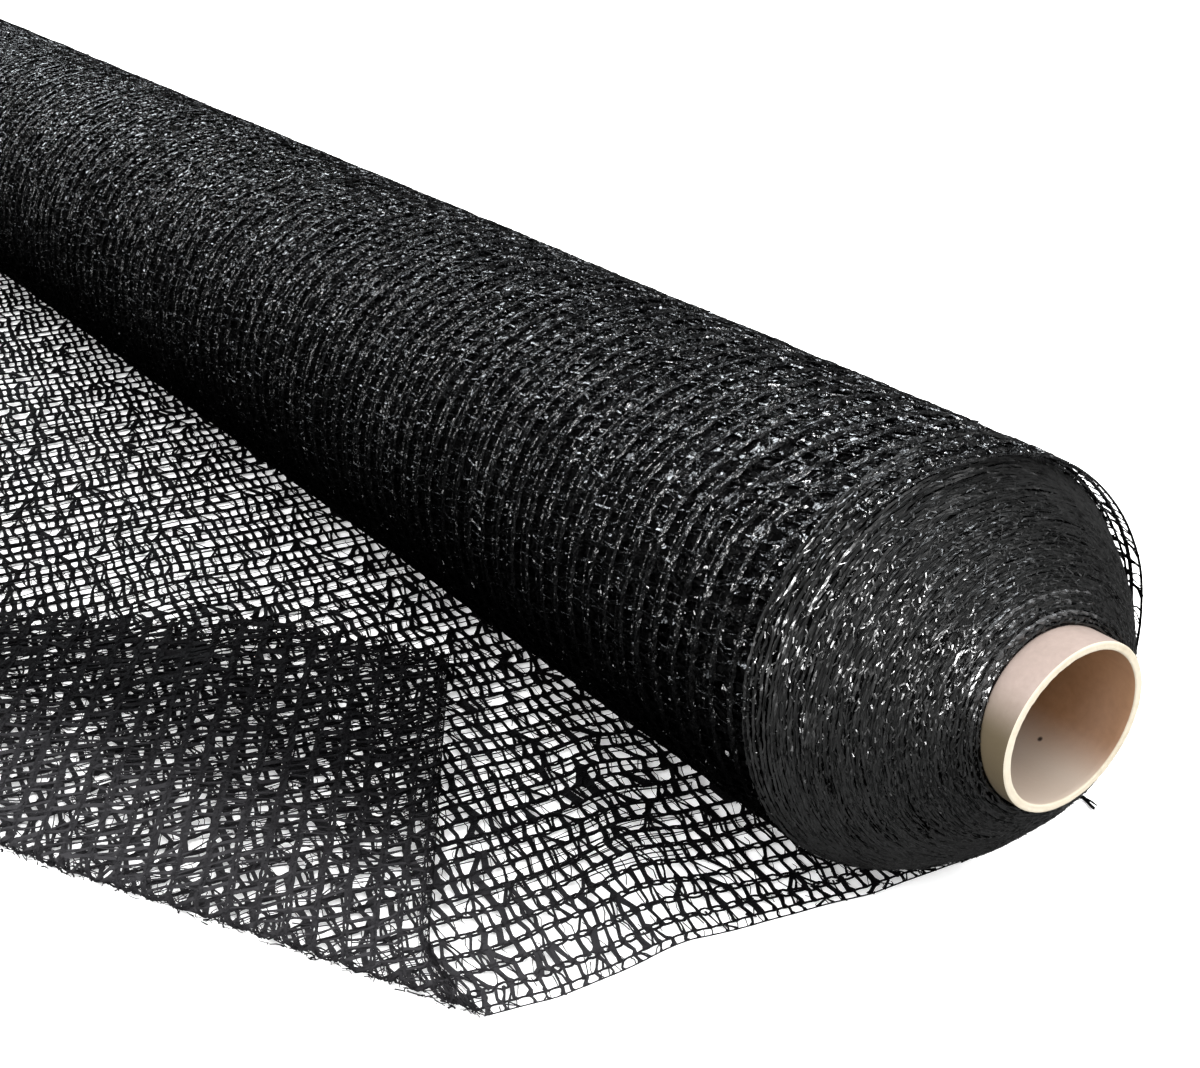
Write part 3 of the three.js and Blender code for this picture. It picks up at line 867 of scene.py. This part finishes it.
def core():
    steps = 128
    a = 2 * math.pi * np.arange(steps) / steps
    wall = CORE_R - CORE_IN
    outs = []
    half = CORE_LENGTH / 2
    edge = [(0.0, 0.45), (0.12, 0.12), (0.45, 0.0)]
    prof = []
    # outer face from far to near, the rim, and back along the bore
    xs_out = [-half + 0.5] + list(np.linspace(-half + 14, half - 14, 14)) + [half - 8, half - 3, half - 0.5]
    for x in xs_out:
        prof.append((x, CORE_R, 'o'))
    prof += [(half - 0.12, CORE_R - 0.12, 'n'), (half, CORE_R - 0.5, 'n'), (half + 0.04, CORE_R - wall * 0.36, 'n'),
             (half - 0.05, CORE_R - wall * 0.5, 'n'), (half + 0.05, CORE_R - wall * 0.66, 'n'),
             (half, CORE_IN + 0.5, 'n'), (half - 0.12, CORE_IN + 0.12, 'n')]
    for x in [half - 0.5, half - 3, half - 8] + list(np.linspace(half - 14, -half + 14, 14)) + [-half + 0.5]:
        prof.append((x, CORE_IN, 'i'))
    prof += [(-half + 0.12, CORE_IN + 0.12, 'f'), (-half, CORE_IN + 0.5, 'f'), (-half, CORE_R - 0.5, 'f'),
             (-half + 0.12, CORE_R - 0.12, 'f')]
    rings, kinds = [], []
    for x, r, kind in prof:
        rr = r + 0.10 * vnoise(a * 1.5 / math.pi * 2, np.full(a.shape, x / 60.0), 71)
        y, z = rr * np.cos(a), rr * np.sin(a)
        xx = np.full(a.shape, x)
        near = smooth((x - (half - 16)) / 16)
        xx = xx + near * (-CORE_TILT[0] * y - CORE_TILT[1] * z)
        if kind == 'n':
            xx = xx + 0.09 * vnoise(a * 16, np.full(a.shape, r * 2.2), 72) + 0.06 * vnoise(a * 45, np.full(a.shape, r * 3), 73)
        rings.append(np.stack([xx, CORE_Y + y, CORE_Z + z], -1))
        kinds.append(kind)
    v = np.stack(rings)
    n = len(rings)
    idx = np.arange(n * steps).reshape(n, steps)
    nxt = np.roll(idx, -1, axis=1)
    down, dnxt = np.roll(idx, -1, axis=0), np.roll(nxt, -1, axis=0)
    bag = Bag()
    bag.add(v, [np.stack([idx, nxt, dnxt, down], -1)])
    o = bag.mesh("core", smooth_faces=True)
    slots = []
    for i in range(n):
        a_, b_ = kinds[i], kinds[(i + 1) % n]
        rim = a_ in 'nf' or b_ in 'nf'
        s = 2 if rim else (0 if a_ == 'o' else 1)
        slots += [s] * steps
    o.data.polygons.foreach_set("material_index", np.array(slots, np.int32))
    print("core", bag.triangles())
    return o


tube = core()


# -------------------------------------------------------------- materials

def new_material(name):
    m = bpy.data.materials.new(name)
    m.use_nodes = True
    nt = m.node_tree
    return m, nt, nt.nodes["Principled BSDF"]


def node(nt, kind, **kw):
    n = nt.nodes.new(kind)
    for k, v in kw.items():
        setattr(n, k, v)
    return n


def noise(nt, coord, scale, detail=3.0, rough=0.55):
    n = node(nt, "ShaderNodeTexNoise")
    n.inputs["Scale"].default_value = scale
    n.inputs["Detail"].default_value = detail
    n.inputs["Roughness"].default_value = rough
    nt.links.new(coord, n.inputs["Vector"])
    return n


def ramp(nt, fac, stops):
    r = node(nt, "ShaderNodeValToRGB")
    while len(r.color_ramp.elements) < len(stops):
        r.color_ramp.elements.new(0.5)
    for e, (p, c) in zip(r.color_ramp.elements, stops):
        e.position = p
        e.color = (*c, 1) if len(c) == 3 else c
    nt.links.new(fac, r.inputs["Fac"])
    return r


def rng(nt, fac, lo, hi, a=0.0, b=1.0):
    r = node(nt, "ShaderNodeMapRange")
    r.inputs["From Min"].default_value = a
    r.inputs["From Max"].default_value = b
    r.inputs["To Min"].default_value = lo
    r.inputs["To Max"].default_value = hi
    nt.links.new(fac, r.inputs["Value"])
    return r


def around(nt, coord, along):
    """Coordinates that run round the roll, with lengths round it shrunk by `along`."""
    xyz = node(nt, "ShaderNodeSeparateXYZ")
    nt.links.new(coord, xyz.inputs[0])

    def math2(op, a, b):
        m = node(nt, "ShaderNodeMath", operation=op)
        for k, v in enumerate((a, b)):
            if isinstance(v, (int, float)):
                m.inputs[k].default_value = v
            else:
                nt.links.new(v, m.inputs[k])
        return m.outputs[0]
    y = math2("ADD", xyz.outputs["Y"], 0.0008)
    z = math2("SUBTRACT", 0.0764, xyz.outputs["Z"])
    radius = math2("SQRT", math2("ADD", math2("MULTIPLY", y, y), math2("MULTIPLY", z, z)), 0.0)
    turn = math2("MULTIPLY", math2("ARCTAN2", y, z), 0.055 * along)
    out = node(nt, "ShaderNodeCombineXYZ")
    nt.links.new(radius, out.inputs["X"])
    nt.links.new(turn, out.inputs["Y"])
    return out.outputs[0]


def facets(nt, coord, scale, tilt):
    """Normals of crumpled film: flat facets, each tilted in its own way."""
    cells = node(nt, "ShaderNodeTexVoronoi")
    cells.inputs["Scale"].default_value = scale
    nt.links.new(coord, cells.inputs["Vector"])
    off = node(nt, "ShaderNodeVectorMath", operation="SUBTRACT")
    nt.links.new(cells.outputs["Color"], off.inputs[0])
    off.inputs[1].default_value = (0.5, 0.5, 0.5)
    size = node(nt, "ShaderNodeVectorMath", operation="SCALE")
    nt.links.new(off.outputs[0], size.inputs[0])
    size.inputs["Scale"].default_value = 2.0 * tilt
    geo = node(nt, "ShaderNodeNewGeometry")
    add = node(nt, "ShaderNodeVectorMath", operation="ADD")
    nt.links.new(geo.outputs["Normal"], add.inputs[0])
    nt.links.new(size.outputs[0], add.inputs[1])
    unit = node(nt, "ShaderNodeVectorMath", operation="NORMALIZE")
    nt.links.new(add.outputs[0], unit.inputs[0])
    return unit.outputs[0]


def net_material(name, dark, light, rough, bump, spec, facet=None, streak=None, fold_sheen=None,
                 painted_shade=None):
    """Black plastic. `facet` is the scale and tilt of its crumples, `streak` shrinks them
    round the roll. The fold colour is a painted sheen, a lighter colour painted along the fold.
    The shade pair is painted shade: how much of its colour is left low down on the roll and at
    its far end; with it the gloss is also lowered low down and away from the near end."""
    m, nt, p = new_material(name)
    tc = node(nt, "ShaderNodeTexCoord").outputs["Object"]
    place_ = around(nt, tc, streak) if streak else tc
    patches = noise(nt, tc, 22.0, 3.0)
    fine = noise(nt, place_, 900.0, 2.0)
    mix = node(nt, "ShaderNodeMath", operation="MULTIPLY_ADD")
    nt.links.new(fine.outputs["Fac"], mix.inputs[0])
    mix.inputs[1].default_value = 0.6
    nt.links.new(patches.outputs["Fac"], mix.inputs[2])
    col = ramp(nt, mix.outputs[0], [(0.42, dark), (0.95, light)]).outputs["Color"]
    # painted sheen: the colour is lightened near the fold, where light glances off the net
    if fold_sheen:
        dot = node(nt, "ShaderNodeVectorMath", operation="DOT_PRODUCT")
        nt.links.new(tc, dot.inputs[0])
        dot.inputs[1].default_value = (FOLD_IN[0], FOLD_IN[1], 0.0)
        at_fold = (FOLD_X * FOLD_IN[0] + FOLD_Y * FOLD_IN[1]) / 1000.0
        near = rng(nt, dot.outputs["Value"], 1.0, 0.0, at_fold + 0.010, at_fold + 0.105)
        near.interpolation_type = "SMOOTHSTEP"
        both = node(nt, "ShaderNodeMix", data_type="RGBA")
        nt.links.new(near.outputs["Result"], both.inputs["Factor"])
        nt.links.new(col, both.inputs["A"])
        both.inputs["B"].default_value = (*fold_sheen, 1)
        col = both.outputs["Result"]
    # painted shade: colour darkened low down on the roll and towards its far end, and gloss lowered low down and away
    # from the near end
    if painted_shade:
        xyz = node(nt, "ShaderNodeSeparateXYZ")
        nt.links.new(tc, xyz.inputs[0])
        low = rng(nt, xyz.outputs["Z"], painted_shade[0], 1.0, 0.045, 0.125)
        away = rng(nt, xyz.outputs["X"], painted_shade[1], 1.0, 0.10, 0.56)
        both = node(nt, "ShaderNodeMath", operation="MULTIPLY")
        nt.links.new(low.outputs["Result"], both.inputs[0])
        nt.links.new(away.outputs["Result"], both.inputs[1])
        less = node(nt, "ShaderNodeVectorMath", operation="SCALE")
        nt.links.new(col, less.inputs[0])
        nt.links.new(both.outputs[0], less.inputs["Scale"])
        col = less.outputs[0]
        fall = rng(nt, xyz.outputs["X"], 0.50 * spec, 1.06 * spec, 0.40, 0.58)
        gloss = node(nt, "ShaderNodeMath", operation="MULTIPLY")
        nt.links.new(low.outputs["Result"], gloss.inputs[0])
        nt.links.new(fall.outputs["Result"], gloss.inputs[1])
        nt.links.new(gloss.outputs[0], p.inputs["Specular IOR Level"])
    nt.links.new(col, p.inputs["Base Color"])
    r = rng(nt, fine.outputs["Fac"], rough[0], rough[1], 0.3, 0.7)
    nt.links.new(r.outputs["Result"], p.inputs["Roughness"])
    crumple = noise(nt, place_, 760.0, 2.5, 0.6)
    b = node(nt, "ShaderNodeBump")
    b.inputs["Strength"].default_value = 1.0
    b.inputs["Distance"].default_value = bump
    nt.links.new(crumple.outputs["Fac"], b.inputs["Height"])
    if facet:
        nt.links.new(facets(nt, place_, *facet), b.inputs["Normal"])
    nt.links.new(b.outputs["Normal"], p.inputs["Normal"])
    p.inputs["Specular IOR Level"].default_value = spec
    return m


# the fold colour of the loose net is a painted sheen
LOOSE_CORD = net_material("net_loose_cord", (0.0006, 0.0005, 0.0007), (0.0023, 0.0021, 0.0025), (0.50, 0.68), 0.0008, 0.015,
                          fold_sheen=(0.0155, 0.0150, 0.0164))
LOOSE_TAPE = net_material("net_loose_tape", (0.0006, 0.0006, 0.0007), (0.0028, 0.0026, 0.0031), (0.46, 0.64), 0.0008, 0.015,
                          fold_sheen=(0.0250, 0.0244, 0.0264))
# the last pair of numbers of the wound net is painted shade, low down and towards the far end of the roll
WOUND_CORD = net_material("net_wound_cord", (0.0020, 0.0021, 0.0022), (0.0072, 0.0074, 0.0078), (0.18, 0.32), 0.0005, 0.40,
                          facet=(1000.0, 0.32), painted_shade=(0.10, 0.34))
WOUND_TAPE = net_material("net_wound_tape", (0.0003, 0.0003, 0.0004), (0.0016, 0.0017, 0.0018), (0.10, 0.20), 0.0003, 0.44,
                          facet=(560.0, 0.50), painted_shade=(0.12, 0.4))
EDGES = net_material("net_wound_edges", (0.0022, 0.0022, 0.0021), (0.0105, 0.0108, 0.0108), (0.26, 0.40), 0.00022, 0.64,
                     facet=(1500.0, 0.14), streak=0.26)
# lighter copy of the edge material: a painted highlight on the arcs above the tube
EDGES_PAINTED_HIGHLIGHT = net_material("net_wound_edges_painted_highlight", (0.016, 0.016, 0.016), (0.055, 0.055, 0.056), (0.24, 0.40), 0.0004, 0.50,
                           facet=(1000.0, 0.34), streak=0.5)
# its last pair of numbers is painted shade, low down and towards the far end of the roll
INNER = net_material("net_inner", (0.0002, 0.0002, 0.0002), (0.0008, 0.0008, 0.0009), (0.12, 0.22), 0.0002, 0.26,
                     facet=(540.0, 0.52), painted_shade=(0.05, 0.5))


def board(name, stops, rough, painted_light_shade=None, bump=0.25, speck=None):
    """Board with its fibre. The graded colour is painted light and shade: the colour painted in, the direction it grows
    in, and from where to where.
    """
    m, nt, p = new_material(name)
    tc = node(nt, "ShaderNodeTexCoord").outputs["Object"]
    big = noise(nt, tc, 26.0, 4.0)
    small = noise(nt, tc, 420.0, 5.0, 0.65)
    add = node(nt, "ShaderNodeMath", operation="MULTIPLY_ADD")
    nt.links.new(small.outputs["Fac"], add.inputs[0])
    add.inputs[1].default_value = 0.45
    nt.links.new(big.outputs["Fac"], add.inputs[2])
    col = ramp(nt, add.outputs[0], stops)
    # painted light and shade: the colour is graded in along a direction through the tube
    if painted_light_shade:
        dot = node(nt, "ShaderNodeVectorMath", operation="DOT_PRODUCT")
        nt.links.new(tc, dot.inputs[0])
        dot.inputs[1].default_value = painted_light_shade[1]
        down = rng(nt, dot.outputs["Value"], 0.0, 1.0, painted_light_shade[2], painted_light_shade[3])
        down.interpolation_type = "SMOOTHSTEP"
        mix = node(nt, "ShaderNodeMix", data_type="RGBA")
        nt.links.new(down.outputs["Result"], mix.inputs["Factor"])
        nt.links.new(col.outputs["Color"], mix.inputs["A"])
        mix.inputs["B"].default_value = (*painted_light_shade[0], 1)
        out = mix.outputs["Result"]
        if speck:
            dist = node(nt, "ShaderNodeVectorMath", operation="DISTANCE")
            nt.links.new(tc, dist.inputs[0])
            dist.inputs[1].default_value = speck
            close = rng(nt, dist.outputs["Value"], 1.0, 0.0, 0.0005, 0.0011)
            dark = node(nt, "ShaderNodeMix", data_type="RGBA")
            nt.links.new(close.outputs["Result"], dark.inputs["Factor"])
            nt.links.new(out, dark.inputs["A"])
            dark.inputs["B"].default_value = (0.02, 0.012, 0.008, 1)
            out = dark.outputs["Result"]
        nt.links.new(out, p.inputs["Base Color"])
    else:
        nt.links.new(col.outputs["Color"], p.inputs["Base Color"])
    p.inputs["Roughness"].default_value = rough
    p.inputs["Specular IOR Level"].default_value = 0.3
    b = node(nt, "ShaderNodeBump")
    b.inputs["Strength"].default_value = bump
    b.inputs["Distance"].default_value = 0.0003
    nt.links.new(small.outputs["Fac"], b.inputs["Height"])
    nt.links.new(b.outputs["Normal"], p.inputs["Normal"])
    return m


# outside: painted shade, darker olive on the lower front of the tube
tube.data.materials.append(board("board_outside", [(0.45, (0.175, 0.134, 0.113)), (0.75, (0.230, 0.178, 0.154)),
                                                   (1.0, (0.270, 0.215, 0.188))], 0.75,
                                 painted_light_shade=((0.066, 0.047, 0.020), (0.0, 0.5, 0.866), 0.074, 0.055)))
# inside: painted light, lighter taupe on the lower front wall of the bore
tube.data.materials.append(board("board_inside", [(0.45, (0.185, 0.090, 0.040)), (0.75, (0.240, 0.124, 0.060)),
                                                  (1.0, (0.280, 0.150, 0.075))], 0.7,
                                 painted_light_shade=((0.37, 0.305, 0.250), (0.0, 0.6, 0.8), 0.066, 0.047),
                                 speck=(0.62093, 0.01388, 0.05766)))
tube.data.materials.append(board("board_rim", [(0.45, (0.29, 0.245, 0.175)), (0.7, (0.40, 0.355, 0.275)),
                                               (1.0, (0.46, 0.42, 0.34))], 0.85, bump=0.5))


def wear(pieces, *mats):
    for o in pieces:
        for m in mats:
            o.data.materials.append(m)


wear((loose_1, loose_2, loose_3, loose_fuzz), LOOSE_CORD, LOOSE_TAPE)
wear((roll_0, roll_1, roll_2, roll_3, roll_4, roll_5), WOUND_CORD, WOUND_TAPE)
wear((dome_near, dome_far), EDGES, EDGES_PAINTED_HIGHLIGHT)
wear((body,), INNER)

# -------------------------------------------------- riding and declaring

for o in (loose_1, loose_2, loose_3, loose_fuzz):
    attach(o, "root")
for o in (roll_0, roll_1, roll_2, roll_3, roll_4, roll_5, dome_near, dome_far, body):
    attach(o, "root")
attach(tube, "root")
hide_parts("core_tube")
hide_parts("cloth_roll")
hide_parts("loose_end")

# ----------------------------------------------------------------- camera

cam_data = bpy.data.cameras.new("camera")
cam = bpy.data.objects.new("camera", cam_data)
scene.collection.objects.link(cam)
cam_data.sensor_width = 36.0
cam_data.lens = 36.0 * 2116.82 / 1200.0
cam_data.clip_start, cam_data.clip_end = 0.01, 100
head, pitch = 2.58219, 0.385933
fw = Vector((math.cos(pitch) * math.cos(head), math.cos(pitch) * math.sin(head), -math.sin(pitch)))
right = fw.cross(Vector((0, 0, 1))).normalized()
up = right.cross(fw)
cam.matrix_world = Matrix(((right.x, up.x, -fw.x, 0.65 + 0.39599), (right.y, up.y, -fw.y, -0.41412),
                           (right.z, up.z, -fw.z, 0.36532), (0, 0, 0, 1)))
scene.camera = cam

# ------------------------------------------------------- floor and lights

fme = bpy.data.meshes.new("floor")
fme.from_pydata([(-30, -30, -0.0004), (30, -30, -0.0004), (30, 30, -0.0004), (-30, 30, -0.0004)], [], [(0, 1, 2, 3)])
floor = bpy.data.objects.new("floor", fme)
scene.collection.objects.link(floor)
fm, nt, p = new_material("floor")
path = node(nt, "ShaderNodeLightPath")
tone = ramp(nt, path.outputs["Is Glossy Ray"], [(0.0, (0.92, 0.92, 0.92)), (1.0, (0.07, 0.07, 0.07))])
dim = node(nt, "ShaderNodeMix", data_type="RGBA")
nt.links.new(path.outputs["Is Diffuse Ray"], dim.inputs["Factor"])
nt.links.new(tone.outputs["Color"], dim.inputs["A"])
dim.inputs["B"].default_value = (0.42, 0.42, 0.42, 1)
nt.links.new(dim.outputs["Result"], p.inputs["Base Color"])
p.inputs["Roughness"].default_value = 0.9
p.inputs["Specular IOR Level"].default_value = 0.0
# the sweep is lit a little from beneath, as a light table is
p.inputs["Emission Color"].default_value = (1, 1, 1, 1)
glow = rng(nt, path.outputs["Is Camera Ray"], 0.0, 0.30)
nt.links.new(glow.outputs["Result"], p.inputs["Emission Strength"])
floor.data.materials.append(fm)


def area(name, loc, target, size, power, color=(1, 1, 1)):
    d = bpy.data.lights.new(name, "AREA")
    d.shape = "RECTANGLE"
    d.size, d.size_y = size
    d.energy = power
    d.color = color
    o = bpy.data.objects.new(name, d)
    o.location = loc
    o.rotation_mode = "QUATERNION"
    o.rotation_quaternion = (Vector(target) - Vector(loc)).to_track_quat("-Z", "Y")
    o.visible_camera = False
    scene.collection.objects.link(o)
    return o


def sun(name, toward, strength, angle, color=(1, 1, 1)):
    d = bpy.data.lights.new(name, "SUN")
    d.energy = strength
    d.angle = math.radians(angle)
    d.color = color
    o = bpy.data.objects.new(name, d)
    o.rotation_mode = "QUATERNION"
    o.rotation_quaternion = Vector(toward).to_track_quat("Z", "Y")
    scene.collection.objects.link(o)
    return o


def sheen_only(o):
    """A light for the gloss alone, so it throws no shadow on the floor."""
    o.visible_diffuse = False
    return o


sheen_only(sun("key", (0.42, -0.77, 0.49), 11.0, 16))
sheen_only(sun("top", (-0.15, 0.0, 1.0), 2.2, 18, (0.90, 0.95, 1.0)))
sheen_only(area("far", (-3.2, -0.15, 2.4), (0.1, 0.0, 0.1), (1.8, 1.2), 165, (0.90, 0.95, 1.0)))
sun("side", (0.62, 0.42, 0.66), 0.6, 30)

w = bpy.data.worlds.new("world")
scene.world = w
w.use_nodes = True
nt = w.node_tree
bg = nt.nodes["Background"]
bg.inputs["Color"].default_value = (1, 1, 1, 1)
path = node(nt, "ShaderNodeLightPath")
less = node(nt, "ShaderNodeMapRange")
less.inputs["To Min"].default_value = 3.5
less.inputs["To Max"].default_value = 0.05
nt.links.new(path.outputs["Is Glossy Ray"], less.inputs["Value"])
nt.links.new(less.outputs["Result"], bg.inputs["Strength"])

scene.view_settings.view_transform = "Standard"
